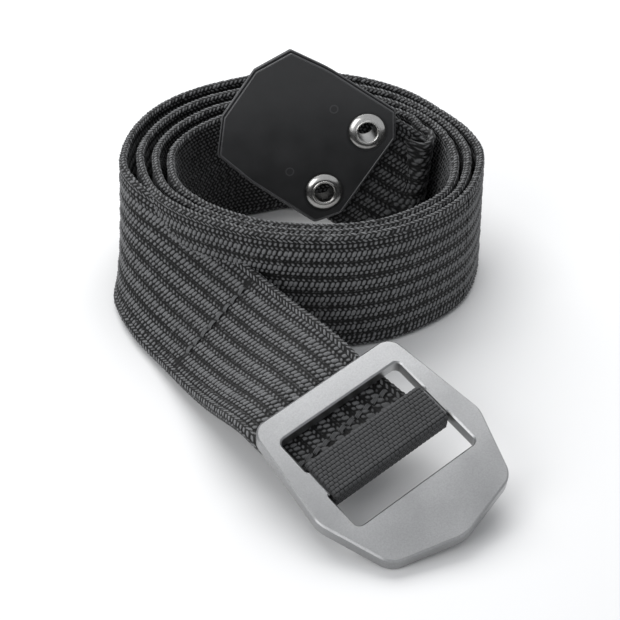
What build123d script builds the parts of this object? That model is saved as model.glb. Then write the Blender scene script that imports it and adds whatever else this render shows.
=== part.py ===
from build123d import *
import math
import os

# A stretch-webbing belt, coiled on its edge, with a flat frame buckle sewn to its outer end and a moulded
# hook plate riveted to its inner end. Millimetres, +Z up. The coil stands on z = 0, and the buckle's nose
# points along -Y.

# Elastic webbing
WEB_WIDTH = 38.0
WEB_THICK = 2.6
WEB_SPREAD = 2.4  # how much wider the webbing lies where it is sewn down at the buckle
SPREAD_STATIONS = 6
LAYER_GAP = 0.05

# The coil: the outermost turn's radius and the pitch between turns, at equal angles, going clockwise as seen
# from above from the place where the lead to the buckle leaves it.
COIL_CENTRE = Vector(19.0, 38.2, 0)
COIL_START_DEG = 138.0
COIL_RADII = [52.7, 51.5, 49.0, 49.1, 48.6, 48.6, 53.9, 54.6, 52.8, 49.9, 49.1, 51.8]
COIL_PITCHES = [4.8, 6.2, 6.7, 6.8, 4.6, 3.1, 3.9, 2.9, 2.75, 2.75, 2.75, 3.6]
COIL_TURNS = 3 + 5 / 12
STATIONS_PER_TURN = 24

# The lead from the buckle to the coil: the webbing's centre from the coil's centre, and its lean in degrees,
# where 0 stands on edge and 90 lies flat.
LEAD = [
    ((-62.2, -66.0, 17.6), 76),
    ((-61.6, -59.0, 17.6), 72),
    ((-60.7, -51.9, 16.8), 67),
    ((-59.1, -41.8, 15.4), 61),
    ((-57.5, -31.6, 14.6), 56),
    ((-55.9, -21.4, 14.3), 51),
    ((-54.9, -11.1, 14.6), 45),
    ((-54.5, -2.0, 16.0), 37),
    ((-53.9, 6.7, 17.4), 28),
    ((-53.0, 13.8, 18.3), 20),
    ((-51.0, 20.2, 18.9), 12),
    ((-46.3, 28.2, 19.1), 4),
]

# The fold at the inner end, from the coil to the neck behind the plate: centre, and upward direction.
FOLD = [
    ((34.6, -13.9, 19.1), (0.02, -0.02, 1.0)),
    ((32.3, -18.6, 19.3), (0.10, -0.06, 0.99)),
    ((28.0, -19.6, 19.05), (0.33, -0.13, 0.94)),
    ((25.6, -17.0, 18.8), (0.48, -0.19, 0.86)),
]

# Buckle frame, drawn flat with its top face at z = 0 and its nose along -Y
BUCKLE_AT = Vector(-60.0, -73.93, 22.98)
BUCKLE_TURN = (17.5, -11.5, 0)
FRAME_THICK = 4.5
FRAME_OUTLINE = [  # x, y and corner radius of one half, from the nose to the coil side
    (0, -56.2, 11),
    (20.1, -51.0, 6),
    (27.2, -31.3, 8),
    (23.4, 0, 4.5),
]
FRAME_EDGE = 0.45
SLOT_HALF = 20.0
SLOT_CORNER = 1.8
STRAP_SLOT = (-18.5, -7.1)
SLOT_BAR_CORNER = 0.8
NOSE_SLOT = (-38.2, -26.5)
BAR_DROP = 0.8
BAR_THICK = 2.9

# Woven ribbon, sewn round the centre bar and along the underside of the webbing
RIBBON_THICK = 1.2
RIBBON_FIT = 0.05
TAIL_STATIONS = 9

# Where the webbing ends under the frame, in the frame's own directions, and the hinge line beside its end
STRAP_CLEAR = 0.3
STRAP_END = (-2.4, -14.2)
STRAP_SKEW = 6.0
STRAP_STATIONS = (0, 7.0, 13.0)
BUCKLE_HINGE_Y = -16.2

# Stitching
STITCH = (2.3, 0.8)
STITCH_PROUD = 0.35
BAR_SEAM_FROM_END = 2.2
BAR_SEAM_STITCHES = 11
CROSS_SEAM_STITCHES = 8
CROSS_SEAM_PITCH = 3.1
CROSS_SEAM_SHIFT = 1.0

# Hook plate, drawn flat with its visible face at z = 0 and its tip along +Y
PLATE_AT = Vector(-12.8, 13.8, 54.3)
PLATE_TURN = (76.5, -34.0, 46.0)
PLATE_OUTLINE = [  # x, y and corner radius of one half, from the tip to the eyelet end
    (8.3, 0, 0.8),
    (19.0, -5.5, 0.8),
    (20.7, -18.0, 40),
    (20.9, -42.0, 1.5),
    (14.0, -47.1, 0.8),
]
PLATE_THICK = 3.0
PLATE_STEP = 0.7
PLATE_STEP_DEPTH = 1.5
HOOK_HALF = 12.0
HOOK_ROOT = (-10.0, -6.5)
HOOK_GAP = 5.2
HOOK_LIP_THICK = 2.3
HOOK_REACH = 6.5
TAB_FROM_TIP = (-56.0, -30.0)
NECK_GAP = 1.0

# Eyelets and their washers
EYELET_X = 11.2
EYELET_Y = -38.5
EYELET_BORE = 3.05
EYELET_WALL = 0.4
EYELET_FLANGE = 5.7
EYELET_DOME = 1.2
EYELET_RECESS = (6.2, 0.4)
EYELET_CLEAR = 0.05
WASHER_RADIUS = 5.6
WASHER_THICK = 0.5
ROLL_RADIUS = 0.55

BUCKLE = Location(COIL_CENTRE + BUCKLE_AT, BUCKLE_TURN)
STRAP = BUCKLE * Location((*STRAP_END, -FRAME_THICK - STRAP_CLEAR - WEB_THICK / 2), (0, 0, STRAP_SKEW))
PLATE = Location(COIL_CENTRE + PLATE_AT, PLATE_TURN)
EYELETS = {"upper": EYELET_X, "lower": -EYELET_X}


def point_in(place, x, y, z):
    """A point of a flat-drawn part, where that part lies."""
    return (place * Pos(x, y, z)).position


def direction_in(place, x, y, z):
    """A direction of a flat-drawn part, where that part lies."""
    return point_in(place, x, y, z) - place.position


def around(values, turns):
    """A value from a list at equal angles, with a smooth change from each to the next."""
    step = (turns % 1) * len(values)
    index = int(step)
    blend = (1 - math.cos(math.pi * (step - index))) / 2
    return values[index] * (1 - blend) + values[(index + 1) % len(values)] * blend


def coil_point(turns):
    """The webbing's centre after so many turns of the coil."""
    radius = around(COIL_RADII, turns) - around(COIL_PITCHES, turns) * turns
    angle = math.radians(COIL_START_DEG - 360 * turns)
    return COIL_CENTRE + Vector(radius * math.cos(angle), radius * math.sin(angle), WEB_WIDTH / 2)


def buckle_stations():
    """The flat end of the webbing under the frame, from its cut edge towards the coil."""
    return [(point_in(STRAP, 0, y, 0), direction_in(STRAP, 1, 0, 0)) for y in STRAP_STATIONS]


def lead_stations():
    """The twisting stretch from the buckle to the coil."""
    stations = []
    for centre, lean in LEAD:
        up = Vector(math.sin(math.radians(lean)), 0, math.cos(math.radians(lean)))
        stations.append((COIL_CENTRE + Vector(*centre), up))
    return stations


def coil_stations():
    """The coil's turns, standing on edge."""
    count = round(COIL_TURNS * STATIONS_PER_TURN)
    return [(coil_point(i / STATIONS_PER_TURN), Vector(0, 0, 1)) for i in range(count + 1)]


def fold_stations():
    """The fold at the inner end, and the neck that rises to the plate."""
    stations = [(COIL_CENTRE + Vector(*centre), Vector(*up)) for centre, up in FOLD]
    neck = point_in(PLATE, 0, TAB_FROM_TIP[0] - NECK_GAP, tab_height())
    return stations + [(neck, direction_in(PLATE, 1, 0, 0))]


def tab_height():
    """The middle of the webbing behind the plate."""
    return -PLATE_THICK - LAYER_GAP - WEB_THICK / 2


def section_plane(stations, i):
    """The plane across the webbing at a station, with X along its width and Y towards its inner face."""
    centre, up = stations[i]
    before = stations[max(i - 1, 0)][0]
    after = stations[min(i + 1, len(stations) - 1)][0]
    along = (after - before).normalized()
    across = (up - along * up.dot(along)).normalized()
    return Plane(origin=centre, x_dir=across, z_dir=along)


def strap(stations, thick, shift=0):
    """A ruled strip through a rectangle at each station, moved by shift towards its inner face."""
    wires = []
    for i in range(len(stations)):
        width = WEB_WIDTH + WEB_SPREAD * max(0, 1 - i / SPREAD_STATIONS)
        section = section_plane(stations, i) * Pos(0, shift) * Rectangle(width, thick)
        wires.append(section.face().outer_wire())
    return Solid.make_loft(wires, ruled=True)


def webbing():
    """The elastic webbing, from its cut end at the buckle to the neck by the plate."""
    return strap(buckle_stations() + lead_stations() + coil_stations() + fold_stations(), WEB_THICK)


def ribbon_tail():
    """The ribbon's tail along the underside of the webbing, from the bar to the cross seam."""
    stations = (buckle_stations() + lead_stations())[:TAIL_STATIONS]
    return strap(stations, RIBBON_THICK, (WEB_THICK + RIBBON_THICK) / 2 + LAYER_GAP)


def stitch_row(place, count, pitch):
    """Bars of thread in a row, through the webbing and the ribbon's tail under it."""
    depth = WEB_THICK + RIBBON_THICK + LAYER_GAP + 2 * STITCH_PROUD
    middle = -(RIBBON_THICK + LAYER_GAP) / 2
    return [place * Pos((i - (count - 1) / 2) * pitch, 0, middle) * Box(*STITCH, depth) for i in range(count)]


def bar_seam():
    """The stitching beside the bar, through the webbing's cut end and the ribbon."""
    return stitch_row(STRAP * Pos(0, BAR_SEAM_FROM_END, 0), BAR_SEAM_STITCHES, CROSS_SEAM_PITCH)


def cross_seam():
    """The bar tack across the webbing, a little short of the end of the ribbon's tail."""
    stations = (buckle_stations() + lead_stations())[TAIL_STATIONS - 2:TAIL_STATIONS]
    middle = section_plane(stations, 0)
    centre = (stations[0][0] + stations[1][0]) / 2
    place = Plane(origin=centre, x_dir=middle.x_dir, z_dir=-middle.y_dir).location
    return stitch_row(place * Pos(CROSS_SEAM_SHIFT, 0, 0), CROSS_SEAM_STITCHES, CROSS_SEAM_PITCH)


def mirrored_outline(half):
    """A face with rounded corners, symmetric about Y, from one half's corners."""
    left = [(-x, y, radius) for x, y, radius in reversed(half) if x > 0]
    corners = half + left
    face = make_face(Polyline(*[(x, y) for x, y, _ in corners], close=True))
    for x, y, radius in corners:
        near = face.vertices().sort_by_distance((x, y, 0))[0]
        face = fillet(near, radius)
    return face


def slot(rail, bar):
    """A slot between the rail and the bar, with its corners rounder at the rail."""
    hole = Pos(0, (rail + bar) / 2) * Rectangle(2 * SLOT_HALF, abs(rail - bar))
    hole = fillet([v for v in hole.vertices() if abs(v.Y - rail) < 0.01], SLOT_CORNER)
    return fillet([v for v in hole.vertices() if abs(v.Y - bar) < 0.01], SLOT_BAR_CORNER)


def buckle_frame():
    """The one-piece metal frame, with a slot on each side of its lowered centre bar."""
    plate = mirrored_outline(FRAME_OUTLINE) - slot(STRAP_SLOT[1], STRAP_SLOT[0]) - slot(*NOSE_SLOT)
    body = extrude(plate, -FRAME_THICK)
    body = chamfer(body.edges().group_by(Axis.Z)[-1], FRAME_EDGE)
    body = chamfer(body.edges().group_by(Axis.Z)[0], FRAME_EDGE)
    bar_y = (STRAP_SLOT[0] + NOSE_SLOT[1]) / 2
    bar_room = (2 * SLOT_HALF - 0.4, STRAP_SLOT[0] - NOSE_SLOT[1] + 2)
    body -= Pos(0, bar_y, 0) * Box(*bar_room, 2 * BAR_DROP)
    body -= Pos(0, bar_y, -FRAME_THICK) * Box(*bar_room, 2 * (FRAME_THICK - BAR_DROP - BAR_THICK))
    return BUCKLE * body


def bar_ribbon():
    """The ribbon's loop round the centre bar."""
    width = STRAP_SLOT[0] - NOSE_SLOT[1]
    centre = (0, (STRAP_SLOT[0] + NOSE_SLOT[1]) / 2, -BAR_DROP - BAR_THICK / 2)
    inner = Rectangle(width + 2 * RIBBON_FIT, BAR_THICK + 2 * RIBBON_FIT)
    outer = RectangleRounded(width + 2 * RIBBON_THICK, BAR_THICK + 2 * RIBBON_THICK, RIBBON_THICK)
    loop = extrude(Plane.YZ * (outer - inner), WEB_WIDTH / 2, both=True)
    return BUCKLE * Pos(*centre) * loop


def hook_plate():
    """The moulded plate: a stepped rim, two eyelet holes, and the hook on its hidden face."""
    low = PLATE_THICK - PLATE_STEP_DEPTH
    outline = mirrored_outline(PLATE_OUTLINE)
    body = extrude(Pos(0, 0, -PLATE_THICK) * outline, low)
    body += extrude(Pos(0, 0, -PLATE_STEP_DEPTH) * offset(outline, -PLATE_STEP), PLATE_STEP_DEPTH)
    root_low, root_high = HOOK_ROOT
    lip_top = -PLATE_THICK - HOOK_GAP
    root_depth = HOOK_GAP + HOOK_LIP_THICK
    root = Box(2 * HOOK_HALF, root_high - root_low, root_depth)
    body += Pos(0, (root_low + root_high) / 2, -PLATE_THICK - root_depth / 2) * root
    lip = Box(2 * HOOK_HALF, HOOK_REACH, HOOK_LIP_THICK)
    body += Pos(0, root_low - HOOK_REACH / 2, lip_top - HOOK_LIP_THICK / 2) * lip
    recess_radius, recess_depth = EYELET_RECESS
    hole = EYELET_BORE + EYELET_WALL + EYELET_CLEAR
    for x in EYELETS.values():
        body -= Pos(x, EYELET_Y, 0) * Cylinder(recess_radius, 2 * recess_depth)
        body -= Pos(x, EYELET_Y, 0) * Cylinder(hole, 3 * PLATE_THICK)
    return PLATE * body


def webbing_end():
    """The last stretch of webbing, held flat behind the plate by the eyelets."""
    low, high = TAB_FROM_TIP
    body = Pos(0, (low + high) / 2, tab_height()) * Box(WEB_WIDTH, high - low, WEB_THICK)
    hole = EYELET_BORE + EYELET_WALL + EYELET_CLEAR
    for x in EYELETS.values():
        body -= Pos(x, EYELET_Y, tab_height()) * Cylinder(hole, 2 * WEB_THICK)
    return PLATE * body


def eyelet(x):
    """A drawn eyelet: domed flange, straight barrel, and a rolled end under its washer."""
    seat = -EYELET_RECESS[1]
    barrel = EYELET_BORE + EYELET_WALL
    washer_low = tab_height() - WEB_THICK / 2 - 2 * LAYER_GAP - WASHER_THICK
    foot = washer_low - ROLL_RADIUS * 2
    with BuildSketch(Plane.XZ) as half:
        with BuildLine():
            Polyline((EYELET_BORE, foot), (EYELET_BORE, seat + 0.9), (EYELET_BORE + 0.35, seat + EYELET_DOME))
            ThreePointArc(
                (EYELET_BORE + 0.35, seat + EYELET_DOME),
                (EYELET_FLANGE - 0.75, seat + 0.8),
                (EYELET_FLANGE, seat),
            )
            Polyline((EYELET_FLANGE, seat), (barrel, seat), (barrel, washer_low))
            ThreePointArc(
                (barrel, washer_low),
                (barrel + ROLL_RADIUS, washer_low - ROLL_RADIUS),
                (barrel, foot),
            )
            Line((barrel, foot), (EYELET_BORE, foot))
        make_face()
    return PLATE * Pos(x, EYELET_Y, 0) * revolve(half.sketch, Axis.Z)


def eyelet_washer(x):
    """The washer that the eyelet's end is rolled over."""
    height = tab_height() - WEB_THICK / 2 - LAYER_GAP - WASHER_THICK / 2
    hole = EYELET_BORE + EYELET_WALL + EYELET_CLEAR
    ring = Cylinder(WASHER_RADIUS, WASHER_THICK) - Cylinder(hole, 2 * WASHER_THICK)
    return PLATE * Pos(x, EYELET_Y, height) * ring


def write(node, shape):
    """Writes one node's solids."""
    pieces = shape if isinstance(shape, list) else [shape]
    export_step(Compound(children=[s for piece in pieces for s in piece.solids()]), f"parts/{node}.step")


def main():
    os.makedirs("parts", exist_ok=True)
    nodes = {
        "webbing": webbing(),
        "ribbon_tail": ribbon_tail(),
        "bar_seam": bar_seam(),
        "cross_seam": cross_seam(),
        "buckle_frame": buckle_frame(),
        "bar_ribbon": bar_ribbon(),
        "hook_plate": hook_plate(),
        "webbing_end": webbing_end(),
    }
    for name, x in EYELETS.items():
        nodes[f"eyelet_{name}"] = eyelet(x)
        nodes[f"eyelet_washer_{name}"] = eyelet_washer(x)
    for node, shape in nodes.items():
        write(node, shape)


main()
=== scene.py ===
import math

import bmesh
import bpy
import numpy as np
from mathutils import Matrix, Vector


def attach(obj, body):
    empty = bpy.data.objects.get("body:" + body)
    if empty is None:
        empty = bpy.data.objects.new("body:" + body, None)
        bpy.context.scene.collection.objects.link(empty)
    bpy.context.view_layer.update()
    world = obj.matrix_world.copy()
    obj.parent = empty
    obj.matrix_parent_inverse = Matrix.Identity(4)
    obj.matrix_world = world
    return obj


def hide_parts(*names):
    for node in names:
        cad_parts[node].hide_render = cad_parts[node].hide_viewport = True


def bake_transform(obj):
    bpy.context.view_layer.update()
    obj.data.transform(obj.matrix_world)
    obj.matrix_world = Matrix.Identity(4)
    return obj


# The looks of a stretch-webbing belt, coiled on its edge, with a frame buckle and a riveted hook plate.
# Shapes are worked out in millimetres, as in the CAD, and turned to metres when a mesh is made.
MM = 0.001

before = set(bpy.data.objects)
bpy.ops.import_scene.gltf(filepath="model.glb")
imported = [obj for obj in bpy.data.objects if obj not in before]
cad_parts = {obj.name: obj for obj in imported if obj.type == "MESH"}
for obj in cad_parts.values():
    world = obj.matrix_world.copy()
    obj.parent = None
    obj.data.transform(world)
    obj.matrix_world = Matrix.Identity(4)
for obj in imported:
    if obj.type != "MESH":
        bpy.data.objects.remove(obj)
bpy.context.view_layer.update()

# The webbing's path: the CAD's own driving values
WEB_WIDTH = 38.0
WEB_THICK = 2.6
WEB_SPREAD = 2.4
SPREAD_STATIONS = 6
LAYER_GAP = 0.05
COIL_CENTRE = np.array([19.0, 38.2, 0.0])
COIL_START_DEG = 138.0
COIL_RADII = [52.7, 51.5, 49.0, 49.1, 48.6, 48.6, 53.9, 54.6, 52.8, 49.9, 49.1, 51.8]
COIL_PITCHES = [4.8, 6.2, 6.7, 6.8, 4.6, 3.1, 3.9, 2.9, 2.75, 2.75, 2.75, 3.6]
COIL_TURNS = 3 + 5 / 12
STATIONS_PER_TURN = 24
LEAD = [
    ((-62.2, -66.0, 17.6), 76),
    ((-61.6, -59.0, 17.6), 72),
    ((-60.7, -51.9, 16.8), 67),
    ((-59.1, -41.8, 15.4), 61),
    ((-57.5, -31.6, 14.6), 56),
    ((-55.9, -21.4, 14.3), 51),
    ((-54.9, -11.1, 14.6), 45),
    ((-54.5, -2.0, 16.0), 37),
    ((-53.9, 6.7, 17.4), 28),
    ((-53.0, 13.8, 18.3), 20),
    ((-51.0, 20.2, 18.9), 12),
    ((-46.3, 28.2, 19.1), 4),
]
FOLD = [
    ((34.6, -13.9, 19.1), (0.02, -0.02, 1.0)),
    ((32.3, -18.6, 19.3), (0.10, -0.06, 0.99)),
    ((28.0, -19.6, 19.05), (0.33, -0.13, 0.94)),
    ((25.6, -17.0, 18.8), (0.48, -0.19, 0.86)),
]
BUCKLE_AT = (-41.0, -35.73, 22.98)
BUCKLE_TURN = (17.5, -11.5, 0.0)
STRAP_AT = (-2.4, -14.2, -6.1)
STRAP_TURN = (0.0, 0.0, 6.0)
STRAP_STATIONS = (0.0, 7.0, 13.0)
PLATE_AT = (6.2, 52.0, 54.3)
PLATE_TURN = (76.5, -34.0, 46.0)
TAB_HEIGHT = -4.35
TAB_STATIONS = (-57.0, -52.0, -46.0, -40.0, -35.0, -30.0)
EYELET_X = 11.2
EYELET_Y = -38.5
EYELET_HOLE = 3.5

# The centre bar and the ribbon round it, in the buckle's own directions
LOOP_Y = (-27.4, -17.5)
LOOP_Z = (-4.0, -0.4)
LOOP_WALL = 1.5
RIBBON_THICK = 1.2
RIBBON_FIT = 0.05
TAIL_STATIONS = 9
CROSS_SEAM_STITCHES = 8
CROSS_SEAM_PITCH = 3.1
CROSS_SEAM_SHIFT = 1.0
BAR_SEAM_FROM_END = 2.2
BAR_SEAM_STITCHES = 11

# The weave. A column is a line of knobs along the strap: its centre, half-width, half-length, pitch, top,
# depth, tilt and phase. Tops are measured from the strap's middle plane.
RIB_PITCH = 4.93
RIB_EDGE = 14.8
FACE_EDGE = 16.2
FACE_BASE = 0.58
RIB_COLUMNS = [
    (0.34, 0.36, 0.50, 0.97, 0.98, 0.34, 0.9, 0.0),
    (1.32, 0.66, 0.68, 1.45, 1.20, 0.62, 0.25, 0.5),
    (2.84, 1.06, 0.72, 1.45, 1.30, 0.70, 0.30, 0.0),
    (4.28, 0.52, 0.64, 1.45, 1.10, 0.50, -0.4, 0.5),
]
EDGE_COLUMN = (0.70, 0.68, 1.45, 1.18, 0.60, 0.25, 0.25)
INNER_COLUMNS = 26
INNER_KNOB = (0.60, 0.60, 1.45, 1.28, 0.70, 0.75)
CORD_CENTRE = 17.5
CORD_HALF = (1.5, 1.3)
CORD_FROM_DEG = -60.0
CORD_COLUMNS = 5
CORD_KNOB = (0.74, 0.66, 1.45, 1.30, 0.42, 0.8)
CORD_BASE = 1.0
KNOB_LIFT = 0.035  # the knobs' random changes of height and place, and how much lower every other one lies
KNOB_SLIP = 0.05
KNOB_LOW = 0.06
STEP = 0.30  # between rings of the webbing
RIBBON_STEP = 0.25
DIRECTION_REACH = 0.2  # the webbing's direction is taken over this far each way

# The webbing's cut end: it lies beside the ribbon's loop, parallel to the bar, and each rib ends in a tuft
END_REACH = 2.0
END_SHEAR_LENGTH = 12.0
TUFT_HEIGHT = 0.9
TUFT_LENGTH = 1.5

# The cross seam pulls the outer face in
SINK_SHARE = 0.50
SINK_LENGTH = 1.1

# Tones of the yarn on the outer face, the cord and the inner face, and the painted shade that darkens the
# webbing's ends: pairs of distance and share, from the cut end and from the fold
OUTER_TONE = 0.5
CORD_TONE = 0.55
INNER_TONE = 0.4
END_SHADE = [(0.0, 0.40), (2.0, 0.5), (7.0, 1.0)]
FOLD_SHADE = [(-8.0, 1.0), (0.0, 0.6)]
# The height that the cord's painted groove shade goes by: its own, with its depth below the top made larger
CORD_SHADE_TOP = 1.3
CORD_SHADE_GAIN = 2.2

# The ribbon's rows and bricks, and the links of its painted groove shade to its height
RIBBON_ROW = 1.12
RIBBON_BRICK = 1.40
RIBBON_RISE = 0.30
ROW_GROOVE = 0.24
BRICK_GROOVE = 0.28
RIBBON_SHADE_BASE = 0.6
RIBBON_SHADE_GAIN = 2.2
LOOP_STEP = 0.16
LOOP_CROSS_STEP = 0.17
LOOP_EDGE = 0.5  # the rim over which the loop's edge falls away, and how far
LOOP_EDGE_DROP = 0.25
LOOP_RIM = 0.6  # the rim that waves, by how much, and how quickly
LOOP_WAVE = 0.06
LOOP_WAVE_RATE = 2.9
# The ribbon's centre line between its loop and its tail, before the tail's own start
LINK_LINE = [(-1.4, -18.0, -4.5), (-1.6, -17.2, -5.1), (-1.9, -16.2, -6.3), (-2.2, -15.2, -7.4)]
LINK_END = (-2.4, -14.1)
LINK_PHASE = 0.3

# Stitches: length, strands in a bundle, radius of a strand
CROSS_SEAM_THREADS = (2.9, 4, 0.16)
BAR_SEAM_THREADS = (2.5, 3, 0.2)
SEAM_SLANT_DEG = 11.0
THREAD_SIDES = 8
THREAD_STEPS = 9
THREAD_PROUD = 0.5  # the height of a bundle's bow
THREAD_SPACING = 2.1  # in radii
# Painted shade on each stitch thread: darker at its sides and underside, lighter on its top
THREAD_SHADE_HEIGHTS = (0.85, 0.42)  # at a strand's side, and the rise to its top

# Half of the plate's outline (X, Y, corner radius), its rims (inset, height, radius), its ejector marks,
# and the eyelets' lips
PLATE_OUTLINE = [
    (8.3, 0.0, 0.8),
    (19.0, -5.5, 0.8),
    (20.7, -18.0, 40.0),
    (20.9, -42.0, 1.5),
    (14.0, -47.1, 0.8),
]
PLATE_RIMS = [(0.75, -0.18, 0.32), (0.10, -1.55, 0.30)]
EJECTOR_MARKS = [(-11.5, -26.1, 0.0), (11.5, -26.1, 0.0)]
EJECTOR_RADIUS = 1.15
EJECTOR_LINE = 0.18  # half the width of the ring
LIP_RADIUS = 3.36
LIP_HEIGHT = 0.72
LIP_THICK = 0.34
BEAD_SIDES = 10
DRILL_LENGTH = 20.0

# The floor, in metres, and the camera
FLOOR_HALF = 6.0
FLOOR_DROP = 0.0002  # keeps the floor off the underside
CAMERA_AT = (-0.3054, -0.3251, 0.3201)
CAMERA_AIM = (0.0004, 0.0146, 0.0)
CAMERA_LENS = 110.3
SENSOR_WIDTH = 36.0


def turned(at, turn):
    """The matrix of a flat-drawn part's place, in millimetres."""
    rx, ry, rz = (math.radians(a) for a in turn)
    spin = Matrix.Rotation(rx, 4, "X") @ Matrix.Rotation(ry, 4, "Y") @ Matrix.Rotation(rz, 4, "Z")
    return np.array(Matrix.Translation(at) @ spin)


BUCKLE = turned(BUCKLE_AT, BUCKLE_TURN)
STRAP = BUCKLE @ turned(STRAP_AT, STRAP_TURN)
PLATE = turned(PLATE_AT, PLATE_TURN)


def placed(place, points):
    """Points of a flat-drawn part, where that part lies."""
    return np.asarray(points, float) @ place[:3, :3].T + place[:3, 3]


def around(values, turns):
    """A value from a list at equal angles, with a smooth change from each to the next."""
    step = (turns % 1) * len(values)
    index = int(step)
    share = (1 - math.cos(math.pi * (step - index))) / 2
    return values[index] * (1 - share) + values[(index + 1) % len(values)] * share


def coil_point(turns):
    """The webbing's centre after so many turns of the coil."""
    radius = around(COIL_RADII, turns) - around(COIL_PITCHES, turns) * turns
    angle = math.radians(COIL_START_DEG - 360 * turns)
    return COIL_CENTRE + (radius * math.cos(angle), radius * math.sin(angle), WEB_WIDTH / 2)


def strap_stations():
    """Centres and upward directions from the webbing's cut end to its end behind the plate."""
    stations = [(placed(STRAP, (0, y, 0)), STRAP[:3, 0]) for y in STRAP_STATIONS]
    for centre, lean in LEAD:
        lean = math.radians(lean)
        stations.append((COIL_CENTRE + centre, np.array([math.sin(lean), 0, math.cos(lean)])))
    for i in range(round(COIL_TURNS * STATIONS_PER_TURN) + 1):
        stations.append((coil_point(i / STATIONS_PER_TURN), np.array([0.0, 0.0, 1.0])))
    stations += [(COIL_CENTRE + centre, np.array(up)) for centre, up in FOLD]
    stations += [(placed(PLATE, (0, y, TAB_HEIGHT)), PLATE[:3, 0]) for y in TAB_STATIONS]
    return stations


def smooth_through(values, knots, at):
    """A smooth line through the values at the knots, read at other places."""
    slope = np.gradient(values, knots, axis=0)
    i = np.clip(np.searchsorted(knots, at, side="right") - 1, 0, len(knots) - 2)
    gap = (knots[i + 1] - knots[i])[:, None]
    t = (at - knots[i])[:, None] / gap
    rise = t * t * (3 - 2 * t)
    start_pull = t * (1 - t) ** 2 * gap * slope[i]
    end_pull = t * t * (t - 1) * gap * slope[i + 1]
    return values[i] * (1 - rise) + values[i + 1] * rise + start_pull + end_pull


class Path:
    """The strap's centre line, with its directions and width at any distance along it."""

    def __init__(self, stations):
        self.centres = np.array([s[0] for s in stations])
        self.ups = np.array([s[1] for s in stations], float)
        gaps = np.linalg.norm(np.diff(self.centres, axis=0), axis=1)
        self.knots = np.concatenate([[0.0], np.cumsum(gaps)])
        spread = np.maximum(0, 1 - np.arange(len(stations)) / SPREAD_STATIONS)
        self.widths = WEB_WIDTH + WEB_SPREAD * spread
        self.length = self.knots[-1]

    def at(self, distances):
        """Centres, along, across and outward directions, and widths, at these distances."""
        centre = smooth_through(self.centres, self.knots, distances)
        further = np.minimum(distances + DIRECTION_REACH, self.length)
        ahead = smooth_through(self.centres, self.knots, further)
        behind = smooth_through(self.centres, self.knots, np.maximum(distances - DIRECTION_REACH, 0))
        along = unit(ahead - behind)
        up = smooth_through(self.ups, self.knots, distances)
        across = unit(up - along * (up * along).sum(1, keepdims=True))
        outward = np.cross(across, along)
        return centre, along, across, outward, np.interp(distances, self.knots, self.widths)


def unit(vectors):
    return vectors / np.linalg.norm(vectors, axis=-1, keepdims=True)


def knob_column(height, s, v, centre, half_width, half_length, pitch, top, depth, tilt, phase, rng):
    """Raises one column of knobs in a height grid (distance along, place across)."""
    near = np.abs(v - centre) < half_width
    if not near.any():
        return
    count = int(s[-1] / pitch) + 4
    lift = rng.normal(0, KNOB_LIFT, count)
    lift[::2] -= KNOB_LOW
    slip = rng.normal(0, KNOB_SLIP, count)
    side = (v[near] - centre) / half_width
    run = s[:, None] / pitch + phase + tilt * side[None, :] * half_width / pitch
    knob = np.clip(np.floor(run).astype(int), 0, count - 1)
    off = (run - knob - 0.5 + slip[knob]) * pitch / half_length
    dome = top + lift[knob] - depth * (side[None, :] ** 4 + off ** 2)
    height[:, near] = np.maximum(height[:, near], dome)


def outer_heights(s, v, rng):
    """The ribbed outer face: how far it stands from the middle plane."""
    share = ((v + RIB_EDGE) / RIB_PITCH) % 1
    crown = FACE_BASE + 0.12 * np.sin(np.pi * share) ** 2
    height = np.repeat(crown[None, :], len(s), 0)
    for rib in range(6):
        for column in RIB_COLUMNS:
            knob_column(height, s, v, -RIB_EDGE + rib * RIB_PITCH + column[0], *column[1:], rng)
    for centre in (-15.5, 15.5):
        knob_column(height, s, v, centre, *EDGE_COLUMN, rng)
    return height


def inner_heights(s, v, rng):
    """The inner face: slanting dashes in herringbone columns."""
    height = np.full((len(s), len(v)), FACE_BASE)
    pitch = 2 * FACE_EDGE / INNER_COLUMNS
    half_width, half_length, knob_pitch, top, depth, tilt = INNER_KNOB
    for i in range(INNER_COLUMNS):
        centre = -FACE_EDGE + (i + 0.5) * pitch
        slant = tilt if i % 2 else -tilt
        knob = (half_width, half_length, knob_pitch, top, depth, slant, i % 2 / 2)
        knob_column(height, s, v, centre, *knob, rng)
    return height


def cord_heights(s, angle, rng):
    """The thick selvedge cord: slanting knobs in rows that make chevrons along the edge."""
    place = np.radians(angle - CORD_FROM_DEG) * CORD_HALF[1]
    span = math.radians(180 - 2 * CORD_FROM_DEG) * CORD_HALF[1]
    pitch = span / CORD_COLUMNS
    height = np.full((len(s), len(angle)), CORD_BASE)
    half_width, half_length, knob_pitch, top, depth, tilt = CORD_KNOB
    for i in range(CORD_COLUMNS):
        slant = tilt if i % 2 else -tilt
        knob_column(height, s, place, (i + 0.5) * pitch, half_width, half_length, knob_pitch, top, depth,
                    slant, i % 2 / 2, rng)
    return height


def add_fields(mesh, weave, tone):
    """Stores each point's weave place and groove height, which sets painted shade, and its tone, for the
    yarn material.
    """
    field = mesh.attributes.new("weave", "FLOAT_VECTOR", "POINT")
    field.data.foreach_set("vector", np.asarray(weave, np.float32).ravel())
    field = mesh.attributes.new("tone", "FLOAT", "POINT")
    field.data.foreach_set("value", np.asarray(tone, np.float32))


def show(mesh, material, body=None):
    """Puts a mesh in the scene as a piece with a material and a slot, riding on a body if one is given."""
    mesh.materials.append(material)
    mesh.update()
    piece = bpy.data.objects.new(mesh.name, mesh)
    bpy.context.scene.collection.objects.link(piece)
    if body:
        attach(piece, body)
    return piece


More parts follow.
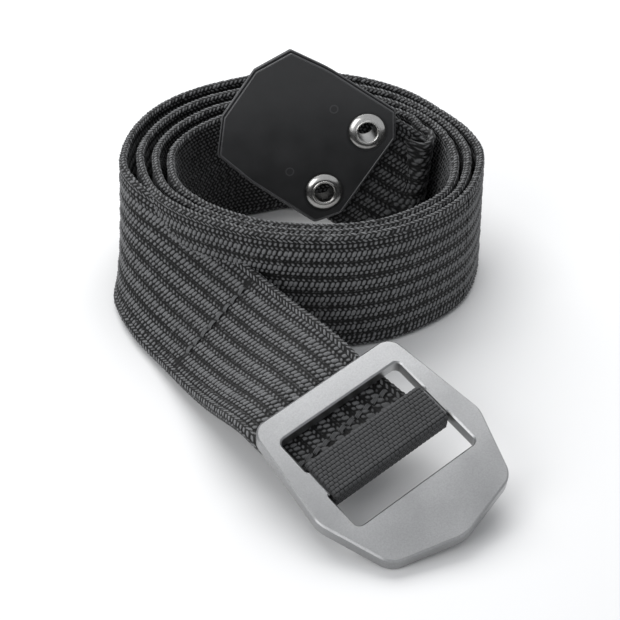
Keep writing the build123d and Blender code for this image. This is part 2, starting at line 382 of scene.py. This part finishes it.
def round_mesh(name, points, faces):
    """A smooth mesh whose faces all look outward."""
    mesh = bpy.data.meshes.new(name)
    mesh.from_pydata(points, [], faces)
    bm = bmesh.new()
    bm.from_mesh(mesh)
    bmesh.ops.recalc_face_normals(bm, faces=bm.faces)
    bm.to_mesh(mesh)
    bm.free()
    mesh.polygons.foreach_set("use_smooth", np.ones(len(mesh.polygons), bool))
    return mesh


def grid_mesh(name, rings, weave, tone, material, body=None):
    """A closed tube through rings of points, an even number in each, with a fan of faces at each end."""
    steps, around_count = rings.shape[:2]
    index = np.arange(steps * around_count).reshape(steps, around_count)
    nxt = np.roll(index, -1, 1)
    sides = np.stack([index[:-1], nxt[:-1], nxt[1:], index[1:]], -1).reshape(-1, 4)
    hub = steps * around_count
    even = np.arange(0, around_count, 2)
    far = (even + 2) % around_count
    first = np.stack([index[0][far], index[0][even + 1], index[0][even], np.full(len(even), hub)], -1)
    last = np.stack([index[-1][even], index[-1][even + 1], index[-1][far], np.full(len(even), hub + 1)], -1)
    points = np.concatenate([rings.reshape(-1, 3), [rings[0].mean(0)], [rings[-1].mean(0)]]) * MM
    mesh = bpy.data.meshes.new(name)
    mesh.from_pydata(points, [], np.concatenate([sides, first, last]))
    smooth = np.ones(len(mesh.polygons), bool)
    smooth[len(sides):] = False
    mesh.polygons.foreach_set("use_smooth", smooth)
    weave = np.concatenate([weave.reshape(-1, 3), np.zeros((2, 3))])
    tone = np.concatenate([tone.reshape(-1), np.zeros(2)])
    add_fields(mesh, weave, tone)
    return show(mesh, material, body)


def webbing_rings(path, low, high, counts):
    """Rings of the woven webbing between two distances, with weave places, heights for painted groove
    shade, and tones.
    """
    outer_count, inner_count, edge_count = counts
    s = np.linspace(low, high, max(2, round((high - low) / STEP) + 1))
    centre, along, across, outward, width = path.at(s)
    scale = (width / WEB_WIDTH)[:, None]
    v_out = np.linspace(-FACE_EDGE, FACE_EDGE, outer_count)
    v_in = np.linspace(FACE_EDGE, -FACE_EDGE, inner_count)
    angle = np.linspace(CORD_FROM_DEG, 180 - CORD_FROM_DEG, edge_count + 2)[1:-1]
    rng = np.random.default_rng(round(low))
    out = outer_heights(s, v_out, rng)
    inn = inner_heights(s, v_in[::-1], rng)[:, ::-1]
    out = out - seam_sink(s)[:, None] * (out - 0.5) + tufts(s, v_out)
    cord_height = cord_heights(s, angle, rng)
    cord = cord_height / CORD_HALF[1]
    side, flat = CORD_HALF
    ones = np.ones((len(s), 1))
    edge_v = CORD_CENTRE + side * np.sin(np.radians(angle))[None, :] * cord
    edge_n = flat * np.cos(np.radians(angle))[None, :] * cord
    v = np.concatenate([ones * v_out, edge_v, ones * v_in, -edge_v[:, ::-1]], 1)
    n = np.concatenate([out, edge_n, -inn, edge_n[:, ::-1]], 1)
    points = centre[:, None] + across[:, None] * (v * scale)[..., None] + outward[:, None] * n[..., None]
    reach = END_REACH + math.tan(math.radians(STRAP_TURN[2])) * v
    points -= along[:, None] * (reach * np.clip(1 - s / END_SHEAR_LENGTH, 0, 1)[:, None])[..., None]
    # Painted shade: these heights set how dark the yarn is painted in the grooves and how light on the
    # knobs' tops
    cord_shade_height = CORD_SHADE_TOP - (CORD_SHADE_TOP - cord_height) * CORD_SHADE_GAIN
    groove_shade_height = np.concatenate([out, cord_shade_height, inn, cord_shade_height[:, ::-1]], 1)
    weave = np.stack([s[:, None] * np.ones_like(v), v + 100 * (n < 0), groove_shade_height], -1)
    tone = np.concatenate([np.full(outer_count, OUTER_TONE), np.full(edge_count, CORD_TONE),
                           np.full(inner_count, INNER_TONE), np.full(edge_count, CORD_TONE)])
    # Painted shade: the webbing is darkened towards its cut end by the ribbon's loop and where it turns
    # into the fold
    shades = END_SHADE + [(fold_start + place, share) for place, share in FOLD_SHADE]
    shade = np.interp(s, *zip(*shades))
    return points, weave, shade[:, None] * tone


def tufts(s, v):
    """The swelling of each rib where its threads end, beside the ribbon."""
    rib = np.sin(np.pi * (((v + RIB_EDGE) / RIB_PITCH) % 1)) ** 2
    return TUFT_HEIGHT * np.exp(-(s / TUFT_LENGTH) ** 2)[:, None] * rib[None, :]


def seam_sink(s):
    """How far the cross seam pulls the outer face in, as a share, at distances along the webbing."""
    return SINK_SHARE * np.exp(-((s - cross_at) / SINK_LENGTH) ** 2)


# Materials

def node(tree, kind, inputs=None, **settings):
    """Adds a node, sets its properties, and fills or links its inputs."""
    made = tree.nodes.new(kind)
    for key, value in settings.items():
        setattr(made, key, value)
    for key, value in (inputs or {}).items():
        if isinstance(value, bpy.types.NodeSocket):
            tree.links.new(value, made.inputs[key])
        else:
            made.inputs[key].default_value = value
    return made


def new_material(name, **sockets):
    """A material with its Principled shader, whose uniform values are set on its sockets."""
    material = bpy.data.materials.new(name)
    material.use_nodes = True
    shader = material.node_tree.nodes["Principled BSDF"]
    for key, value in sockets.items():
        shader.inputs[key.replace("_", " ")].default_value = value
    return material, material.node_tree, shader


def mapped(tree, value, low, high, to_low, to_high):
    """A value moved from one range to another."""
    inputs = {"Value": value, "From Min": low, "From Max": high, "To Min": to_low, "To Max": to_high}
    return node(tree, "ShaderNodeMapRange", inputs).outputs["Result"]


def colour_between(tree, share, low, high, clamp=True):
    """A colour mixed by a share, which may pass the high colour if it isn't clamped."""
    mix = node(tree, "ShaderNodeMix", data_type="RGBA", clamp_factor=clamp)
    tree.links.new(share, mix.inputs[0])
    mix.inputs[6].default_value = (*low, 1)
    mix.inputs[7].default_value = (*high, 1)
    return mix.outputs[2]


def times(tree, a, b):
    return node(tree, "ShaderNodeMath", {0: a, 1: b}, operation="MULTIPLY").outputs[0]


def plus(tree, a, b):
    return node(tree, "ShaderNodeMath", {0: a, 1: b}, operation="ADD").outputs[0]


def noise(tree, where, scale, detail):
    return node(tree, "ShaderNodeTexNoise", {"Vector": where, "Scale": scale, "Detail": detail}).outputs[0]


def yarn_material(name, dark, light, fibre=(5.0, 0.9, 0.9)):
    """Spun synthetic yarn, with fine fibres along each knob, and painted shade: dark between the knobs,
    lighter on their tops.
    """
    material, tree, shader = new_material(
        name, Sheen_Weight=0.06, Sheen_Roughness=0.5, Specular_IOR_Level=0.3)
    weave = node(tree, "ShaderNodeAttribute", attribute_name="weave").outputs["Vector"]
    tone = node(tree, "ShaderNodeAttribute", attribute_name="tone").outputs["Fac"]
    height = node(tree, "ShaderNodeSeparateXYZ", {0: weave}).outputs["Z"]
    # Painted shade: dark in the grooves, light on the knobs' tops, by the stored height
    painted_groove_shade = mapped(tree, height, 0.82, 1.06, 0.0, 1.0)
    stretched = node(tree, "ShaderNodeMapping", {"Vector": weave, "Scale": fibre}).outputs[0]
    fibres = noise(tree, stretched, 1.6, 3.0)
    broad = noise(tree, weave, 0.11, 2.0)
    streak = mapped(tree, fibres, 0.3, 0.7, 0.72, 1.18)
    patch = mapped(tree, broad, 0.3, 0.7, 0.86, 1.12)
    toned = times(tree, painted_groove_shade, mapped(tree, tone, 0.0, 1.0, 0.0, 2.0))
    share = times(tree, toned, times(tree, streak, patch))
    tree.links.new(colour_between(tree, share, dark, light), shader.inputs["Base Color"])
    tree.links.new(mapped(tree, fibres, 0.3, 0.7, 0.5, 0.72), shader.inputs["Roughness"])
    bump = node(tree, "ShaderNodeBump", {"Height": fibres, "Strength": 0.5, "Distance": 0.00018})
    tree.links.new(bump.outputs[0], shader.inputs["Normal"])
    return material


def object_coordinates(tree):
    return node(tree, "ShaderNodeTexCoord").outputs["Object"]


def blasted_metal(name, colour, roughness, grain=0.00006):
    """Fine blasted metal: a satin grain, its depth in metres, with slight changes of brightness."""
    material, tree, shader = new_material(name, Metallic=1.0)
    where = object_coordinates(tree)
    fine = noise(tree, where, 2400.0, 3.0)
    broad = noise(tree, where, 60.0, 3.0)
    low = tuple(c * 0.82 for c in colour)
    high = tuple(c * 1.12 for c in colour)
    grains = mapped(tree, fine, 0.25, 0.75, 0.4, 1.2)
    share = times(tree, grains, mapped(tree, broad, 0.3, 0.7, 0.6, 1.1))
    tree.links.new(colour_between(tree, share, low, high), shader.inputs["Base Color"])
    rough = mapped(tree, broad, 0.3, 0.7, roughness * 0.9, roughness * 1.12)
    tree.links.new(rough, shader.inputs["Roughness"])
    bump = node(tree, "ShaderNodeBump", {"Height": fine, "Strength": 0.25, "Distance": grain})
    tree.links.new(bump.outputs[0], shader.inputs["Normal"])
    return material


def moulded_black(name, low, high, roughness):
    """Satin black moulded plastic, faintly mottled, with its two ejector marks: rings of bump with a
    painted highlight.
    """
    material, tree, shader = new_material(name, Specular_IOR_Level=0.5)
    where = object_coordinates(tree)
    fine = noise(tree, where, 1500.0, 3.0)
    broad = noise(tree, where, 130.0, 4.0)
    rough = mapped(tree, broad, 0.3, 0.7, roughness * 0.85, roughness * 1.2)
    tree.links.new(rough, shader.inputs["Roughness"])
    height = mapped(tree, fine, 0.0, 1.0, 0.0, 0.25)
    mottle_and_ring_highlight = broad
    for mark in EJECTOR_MARKS:
        centre = tuple(placed(PLATE, mark) * MM)
        away = node(tree, "ShaderNodeVectorMath", {0: where, 1: centre}, operation="DISTANCE")
        line = {0: away.outputs["Value"], 1: EJECTOR_RADIUS * MM, 2: EJECTOR_LINE * MM}
        ring = node(tree, "ShaderNodeMath", line, operation="COMPARE").outputs[0]
        height = plus(tree, height, ring)
        # Painted highlight: each ejector ring is coloured lighter, as if its edge caught the light
        mottle_and_ring_highlight = plus(tree, mottle_and_ring_highlight, times(tree, ring, 1.6))
    colour = colour_between(tree, mottle_and_ring_highlight, low, high, clamp=False)
    tree.links.new(colour, shader.inputs["Base Color"])
    bump = node(tree, "ShaderNodeBump", {"Height": height, "Strength": 0.6, "Distance": 0.00018})
    tree.links.new(bump.outputs[0], shader.inputs["Normal"])
    return material


webbing_look = yarn_material("webbing_yarn", (0.0008, 0.0008, 0.0009), (0.165, 0.167, 0.171))
ribbon_look = yarn_material("ribbon_yarn", (0.0008, 0.0008, 0.0009), (0.055, 0.056, 0.058), (1.2, 5.0, 1.0))
thread_look = yarn_material("sewing_thread", (0.001, 0.001, 0.0011), (0.13, 0.132, 0.135), (6.0, 1.0, 1.0))
frame_look = blasted_metal("blasted_aluminium", (0.38, 0.382, 0.386), 0.34)
eyelet_look = blasted_metal("bright_nickel", (0.66, 0.65, 0.63), 0.26, 0.00001)
plate_look = moulded_black("satin_black", (0.016, 0.0165, 0.017), (0.034, 0.034, 0.0355), 0.40)


def carry(name, material):
    """Gives a CAD node that is shown as it is a better material."""
    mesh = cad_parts[name].data
    mesh.materials.clear()
    mesh.materials.append(material)


# The webbing

path = Path(strap_stations())
cross_at = (path.knots[TAIL_STATIONS - 2] + path.knots[TAIL_STATIONS - 1]) / 2
first_turn_end = path.knots[len(STRAP_STATIONS) + len(LEAD) + STATIONS_PER_TURN + 2]
last_turn = round((COIL_TURNS - 1.15) * STATIONS_PER_TURN)
last_turn_start = path.knots[len(STRAP_STATIONS) + len(LEAD) + last_turn]
fold_start = path.knots[-len(TAB_STATIONS) - len(FOLD)]
SPANS = [  # name, start, end, number of pieces, and points on the outer face, the inner face and each edge
    ("webbing_outer", 0.0, first_turn_end, 3, (108, 36, 20)),
    ("webbing_middle", first_turn_end, last_turn_start, 2, (36, 56, 20)),
    ("webbing_inner", last_turn_start, fold_start, 2, (54, 78, 20)),
    ("webbing_neck", fold_start, path.length, 1, (108, 78, 20)),
]


def make_webbing():
    """All of the webbing's pieces."""
    pieces = []
    for name, low, high, count, counts in SPANS:
        cuts = np.linspace(low, high, count + 1)
        for i in range(count):
            label = f"{name}_{i + 1}" if count > 1 else name
            body = None if name == "webbing_neck" else "belt"
            points, weave, tone = webbing_rings(path, cuts[i], cuts[i + 1], counts)
            pieces.append(grid_mesh(label, points, weave, tone, webbing_look, body))
    return pieces


webbing = make_webbing()
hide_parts("webbing")
neck = webbing[-1]
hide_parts("webbing_end")


def drill(piece, place, x, y, radius):
    """Cuts a round hole through a piece, along a flat-drawn part's Z."""
    bm = bmesh.new()
    radius = radius * MM
    bmesh.ops.create_cone(bm, cap_ends=True, segments=48, radius1=radius, radius2=radius,
                          depth=DRILL_LENGTH * MM)
    mesh = bpy.data.meshes.new("drill")
    bm.to_mesh(mesh)
    bm.free()
    mesh.materials.append(piece.data.materials[0])
    tool = bpy.data.objects.new("drill", mesh)
    bpy.context.scene.collection.objects.link(tool)
    spot = place.copy()
    spot[:3, 3] = placed(place, (x, y, 0)) * MM
    tool.matrix_world = Matrix(spot.tolist())
    cut = piece.modifiers.new("hole", "BOOLEAN")
    cut.operation = "DIFFERENCE"
    cut.solver = "EXACT"
    cut.object = tool
    bpy.context.view_layer.update()
    shape = bpy.data.meshes.new_from_object(piece.evaluated_get(bpy.context.evaluated_depsgraph_get()))
    piece.modifiers.clear()
    piece.data = shape
    bpy.data.objects.remove(tool)
    bpy.data.meshes.remove(mesh)


for side in (-1, 1):
    drill(neck, PLATE, side * EYELET_X, EYELET_Y, EYELET_HOLE)
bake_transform(neck)


# The ribbon

def ribbon_heights(run, x, phase=0.0):
    """Brick-like rows that lie across the ribbon: height above its lowest place, by distance and place."""
    row = run[:, None] / RIBBON_ROW + phase
    line = np.floor(row).astype(int)
    up = row - line - 0.5
    brick = x[None, :] / RIBBON_BRICK + 0.5 * (line % 2)
    side = brick - np.floor(brick) - 0.5
    dome = RIBBON_RISE - ROW_GROOVE * (np.abs(up) / 0.5) ** 5 - BRICK_GROOVE * (np.abs(side) / 0.5) ** 6
    return np.maximum(dome, 0.0)


def loop_line(radius):
    """A rounded loop round the bar at some distance from it: its run, points and outward directions."""
    low_y, high_y = LOOP_Y
    low_z, high_z = LOOP_Z
    points, normals = [], []
    corners = [((high_y, low_z), -90), ((high_y, high_z), 0), ((low_y, high_z), 90), ((low_y, low_z), 180)]
    for (y, z), start in corners:
        for a in np.linspace(start, start + 90, 9):
            direction = np.array([math.cos(math.radians(a)), math.sin(math.radians(a))])
            points.append(np.array([y, z]) + direction * radius)
            normals.append(direction)
    closed = np.array(points + points[:1])
    closed_normals = np.array(normals + normals[:1])
    run = np.concatenate([[0], np.cumsum(np.linalg.norm(np.diff(closed, axis=0), axis=1))])
    count = round(run[-1] / LOOP_STEP)
    at = np.arange(0, run[-1], run[-1] / count)[:count]
    line = np.stack([np.interp(at, run, closed[:, k]) for k in range(2)], -1)
    normal = unit(np.stack([np.interp(at, run, closed_normals[:, k]) for k in range(2)], -1))
    return at, line, normal


def make_bar_ribbon():
    """The ribbon's loop: a closed tube round the bar, thick-walled, with brick rows outside."""
    at, line, normal = loop_line(RIBBON_FIT + RIBBON_THICK - RIBBON_RISE)
    inside = line - normal * LOOP_WALL
    x = np.arange(-WEB_WIDTH / 2, WEB_WIDTH / 2 + 0.01, LOOP_CROSS_STEP)
    height = ribbon_heights(at, x)
    edge = np.clip((WEB_WIDTH / 2 - np.abs(x)) / LOOP_EDGE, 0, 1)
    rise = height * np.sqrt(edge)[None, :] - LOOP_EDGE_DROP * (1 - edge)[None, :] ** 2
    outside = line[None] + normal[None] * rise.T[..., None]
    wave = LOOP_WAVE * np.sin(at * LOOP_WAVE_RATE)
    at_rim = np.abs(x)[:, None] > WEB_WIDTH / 2 - LOOP_RIM
    xs = x[:, None] + np.sign(x)[:, None] * at_rim * wave[None, :]
    outer = np.concatenate([xs[..., None], outside], -1)
    inner = np.concatenate([xs[..., None], np.repeat(inside[None], len(x), 0)], -1)
    return shell_mesh("bar_ribbon_loop", outer, inner, height.T, at, x)


def shell_mesh(name, outer, inner, height, at, x):
    """A loop with an outer and an inner skin, joined along both rims."""
    steps, count = len(x), len(at)
    index = np.arange(steps * count).reshape(steps, count)
    nxt = np.roll(index, -1, 1)
    skin = np.stack([index[:-1], index[1:], nxt[1:], nxt[:-1]], -1).reshape(-1, 4)
    shift = steps * count
    back = skin[:, ::-1] + shift
    rims = []
    for ring, flip in ((0, False), (steps - 1, True)):
        quad = np.stack([index[ring], nxt[ring], nxt[ring] + shift, index[ring] + shift], -1)
        rims.append(quad[:, ::-1] if flip else quad)
    points = placed(BUCKLE, np.concatenate([outer.reshape(-1, 3), inner.reshape(-1, 3)])) * MM
    mesh = bpy.data.meshes.new(name)
    mesh.from_pydata(points, [], np.concatenate([skin, back] + rims))
    mesh.polygons.foreach_set("use_smooth", np.ones(len(mesh.polygons), bool))
    # Painted shade: darker in the grooves between the bricks, lighter on their tops
    ribbon_shade_height = RIBBON_SHADE_BASE + RIBBON_SHADE_GAIN * height
    weave = np.stack([np.repeat(at[None], steps, 0), np.repeat(x[:, None], count, 1), ribbon_shade_height], -1)
    weave = np.concatenate([weave.reshape(-1, 3)] * 2)
    add_fields(mesh, weave, np.full(len(weave), OUTER_TONE))
    return show(mesh, ribbon_look, "buckle")


def strip_rings(centre, across, outward, run, half_width, phase):
    """Rings of a thin ribbon with brick rows on both faces."""
    x = np.linspace(-1, 1, 150)
    height = ribbon_heights(run, x * half_width, phase)
    edge = np.sqrt(np.clip((1 - np.abs(x)) * half_width / 0.5, 0, 1))
    half = RIBBON_THICK / 2 - RIBBON_RISE
    top = (half + height) * (0.35 + 0.65 * edge)[None, :]
    v = x * half_width
    vs = np.concatenate([v, v[::-1]])
    n = np.concatenate([top, -top[:, ::-1]], 1)
    points = centre[:, None] + across[:, None] * vs[None, :, None] + outward[:, None] * n[..., None]
    # Painted shade: darker in the grooves between the bricks, lighter on their tops
    ribbon_shade_height = RIBBON_SHADE_BASE + RIBBON_SHADE_GAIN * np.concatenate([height, height[:, ::-1]], 1)
    weave = np.stack([np.repeat(run[:, None], len(vs), 1), np.repeat(vs[None], len(run), 0), ribbon_shade_height], -1)
    return points, weave, np.full(weave.shape[:2], OUTER_TONE)


def make_tail():
    """The ribbon's tail along the underside of the webbing."""
    run = np.arange(0, path.knots[TAIL_STATIONS - 1], RIBBON_STEP)
    centre, _, across, outward, _ = path.at(run)
    middle = centre - outward * ((WEB_THICK + RIBBON_THICK) / 2 + LAYER_GAP)
    points, weave, tone = strip_rings(middle, across, outward, run, WEB_WIDTH / 2, 0.0)
    return grid_mesh("ribbon_tail_woven", points, weave, tone, ribbon_look, "belt")


def make_link():
    """The ribbon between its loop and its tail, bent and turned across the joint from the buckle to the
    strap.
    """
    drop = STRAP_AT[2] - (WEB_THICK + RIBBON_THICK) / 2 - LAYER_GAP
    line = np.array(LINK_LINE + [(*LINK_END, drop)])
    knots = np.concatenate([[0], np.cumsum(np.linalg.norm(np.diff(line, axis=0), axis=1))])
    run = np.arange(0, knots[-1], RIBBON_STEP)
    local = smooth_through(line, knots, run)
    turn = np.radians(STRAP_TURN[2]) * run / run[-1]
    across_local = np.stack([np.cos(turn), np.sin(turn), 0 * turn], -1)
    centre = placed(BUCKLE, local)
    across = across_local @ BUCKLE[:3, :3].T
    outward = unit(np.cross(across, np.gradient(centre, axis=0)))
    points, weave, tone = strip_rings(centre, across, outward, run, WEB_WIDTH / 2, LINK_PHASE)
    piece = grid_mesh("ribbon_link", points, weave, tone, ribbon_look)
    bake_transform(piece)


bar_ribbon = make_bar_ribbon()
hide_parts("bar_ribbon")
tail = make_tail()
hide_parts("ribbon_tail")
make_link()


# Stitching

def thread_bundles(name, places, threads):
    """Short parallel threads at each place (centre, along the thread, across, outward), on both faces."""
    length, strands, radius = threads
    depth = (WEB_THICK + RIBBON_THICK + LAYER_GAP) / 2
    ring, steps = THREAD_SIDES, THREAD_STEPS
    side_shade_height, top_shade_rise = THREAD_SHADE_HEIGHTS
    points, faces, weave = [], [], []
    for centre, along, across, outward in places:
        for face in (1, -1):
            for k in range(strands):
                off = (k - (strands - 1) / 2) * radius * THREAD_SPACING
                start = len(points)
                for i in range(steps):
                    t = i / (steps - 1) * 2 - 1
                    bow = (1 - t * t)
                    mid = centre + along * (t * length / 2) + across * off
                    mid = mid + outward * face * (depth - THREAD_PROUD + THREAD_PROUD * bow)
                    thick = radius * (0.35 + 0.65 * math.sqrt(max(0, 1 - t ** 6)))
                    for j in range(ring):
                        a = 2 * math.pi * j / ring
                        points.append(mid + across * math.cos(a) * thick + outward * math.sin(a) * thick)
                        # Painted shade: the thread is painted darker round its sides and lighter on its top
                        weave.append((t * length, off + a, side_shade_height + top_shade_rise * math.sin(a) * face))
                for i in range(steps - 1):
                    for j in range(ring):
                        a, b = start + i * ring + j, start + i * ring + (j + 1) % ring
                        faces.append((a, a + ring, b + ring, b))
                faces.append(tuple(start + j for j in range(ring)))
                faces.append(tuple(start + (steps - 1) * ring + j for j in reversed(range(ring))))
    mesh = round_mesh(name, np.array(points) * MM, faces)
    add_fields(mesh, weave, np.full(len(points), OUTER_TONE))
    return show(mesh, thread_look, "belt")


def seam_places(distance, count, shift=0.0):
    """Places of a row of stitches across the webbing at a distance along it."""
    centre, along, across, outward, _ = (part[0] for part in path.at(np.array([distance])))
    middle = centre - outward * (RIBBON_THICK + LAYER_GAP) / 2
    offsets = [(i - (count - 1) / 2) * CROSS_SEAM_PITCH + shift for i in range(count)]
    slant = math.radians(SEAM_SLANT_DEG)
    thread = across * math.cos(slant) + along * math.sin(slant)
    beside = along * math.cos(slant) - across * math.sin(slant)
    return [(middle + across * off, thread, beside, outward) for off in offsets]


cross_places = seam_places(cross_at, CROSS_SEAM_STITCHES, CROSS_SEAM_SHIFT)
cross_seam = thread_bundles("cross_seam_threads", cross_places, CROSS_SEAM_THREADS)
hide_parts("cross_seam")
bar_places = seam_places(BAR_SEAM_FROM_END, BAR_SEAM_STITCHES)
bar_seam = thread_bundles("bar_seam_threads", bar_places, BAR_SEAM_THREADS)
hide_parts("bar_seam")


# Rounded rims: along the plate's two steps, and round the eyelets' lips

def rounded_outline(half, inset):
    """A closed line with rounded corners, symmetric about Y, drawn in from the outline by inset."""
    corners = half + [(-x, y, radius) for x, y, radius in reversed(half)]
    points = np.array([(x, y) for x, y, _ in corners])
    ahead = unit(np.roll(points, -1, 0) - points)
    behind = np.roll(ahead, 1, 0)
    line = []
    for point, leave, arrive, (_, _, radius) in zip(points, ahead, behind, corners):
        inward = np.array([arrive[1], -arrive[0]]) + np.array([leave[1], -leave[0]])
        spot = point + inward * inset / (1 + arrive @ leave)
        turn = math.acos(max(-1.0, min(1.0, arrive @ leave)))
        back = radius * math.tan(turn / 2)
        for t in np.linspace(0, 1, 7):
            line.append(spot - arrive * back * (1 - t) ** 2 + leave * back * t ** 2)
    return np.array(line)


def circle(radius):
    """A closed circle as a flat line."""
    angle = np.linspace(0, 2 * math.pi, 65)[:-1]
    return np.stack([np.cos(angle), -np.sin(angle)], -1) * radius


def bead(name, line, height, radius, material):
    """A round bead on the plate, along a closed flat line."""
    tangent = unit(np.roll(line, -1, 0) - np.roll(line, 1, 0))
    side = np.stack([tangent[:, 1], -tangent[:, 0]], -1)
    angle = np.arange(BEAD_SIDES) * 2 * math.pi / BEAD_SIDES
    flat = line[:, None] + side[:, None] * (np.cos(angle) * radius)[None, :, None]
    up = np.broadcast_to(height + np.sin(angle) * radius, flat.shape[:2])
    points = placed(PLATE, np.concatenate([flat, up[..., None]], -1).reshape(-1, 3)) * MM
    index = np.arange(len(points)).reshape(-1, BEAD_SIDES)
    far = np.roll(index, -1, 0)
    faces = np.stack([index, np.roll(index, -1, 1), np.roll(far, -1, 1), far], -1).reshape(-1, 4)
    show(round_mesh(name, points, faces), material, "hook_end")


# Painted highlight: the rims are the plate's own plastic, coloured lighter along their rounded edges
rim_highlight_look = moulded_black("rim_black_painted_highlight", (0.05, 0.05, 0.052), (0.085, 0.085, 0.088), 0.26)
for number, (inset, height, radius) in enumerate(PLATE_RIMS):
    rim = rounded_outline(PLATE_OUTLINE, inset)
    bead(f"plate_rim_{number + 1}", rim, height, radius, rim_highlight_look)
for label, side in (("upper", 1), ("lower", -1)):
    lip = np.array([side * EYELET_X, EYELET_Y]) + circle(LIP_RADIUS)
    bead(f"eyelet_lip_{label}", lip, LIP_HEIGHT, LIP_THICK, eyelet_look)

carry("buckle_frame", frame_look)
carry("hook_plate", plate_look)
for name in ("eyelet_upper", "eyelet_lower", "eyelet_washer_upper", "eyelet_washer_lower"):
    carry(name, eyelet_look)


# Floor, lights and camera

def make_floor():
    half = FLOOR_HALF
    mesh = bpy.data.meshes.new("floor")
    corners = [(-half, -half, 0), (half, -half, 0), (half, half, 0), (-half, half, 0)]
    mesh.from_pydata(corners, [], [(0, 1, 2, 3)])
    material, _, _ = new_material("pale_floor", Base_Color=(0.86, 0.86, 0.86, 1), Roughness=0.9)
    mesh.materials.append(material)
    floor = bpy.data.objects.new("floor", mesh)
    floor.location.z = -FLOOR_DROP
    bpy.context.scene.collection.objects.link(floor)


def area_light(name, at, aim, size, power):
    """A soft white rectangular light."""
    lamp = bpy.data.lights.new(name, "AREA")
    lamp.shape = "RECTANGLE"
    lamp.size, lamp.size_y = size
    lamp.energy = power
    light = bpy.data.objects.new(name, lamp)
    light.location = at
    light.rotation_euler = (Vector(aim) - Vector(at)).to_track_quat("-Z", "Y").to_euler()
    bpy.context.scene.collection.objects.link(light)


def set_camera():
    lens = bpy.data.cameras.new("camera")
    lens.lens = CAMERA_LENS
    lens.sensor_width = SENSOR_WIDTH
    camera = bpy.data.objects.new("camera", lens)
    camera.location = CAMERA_AT
    camera.rotation_euler = (Vector(CAMERA_AIM) - camera.location).to_track_quat("-Z", "Y").to_euler()
    bpy.context.scene.collection.objects.link(camera)
    bpy.context.scene.camera = camera


def set_world(strength):
    world = bpy.data.worlds.new("studio")
    world.use_nodes = True
    background = world.node_tree.nodes["Background"]
    background.inputs[0].default_value = (0.95, 0.97, 1.0, 1)
    background.inputs[1].default_value = strength
    bpy.context.scene.world = world


make_floor()
area_light("key", (0.14, 0.27, 0.46), (0, 0.02, 0.0), (0.6, 0.5), 3.0)
area_light("left", (-0.65, -0.05, 0.40), (0, 0, 0.02), (0.5, 0.5), 2.2)
set_world(0.5)
set_camera()
bpy.context.scene.view_settings.view_transform = "Standard"
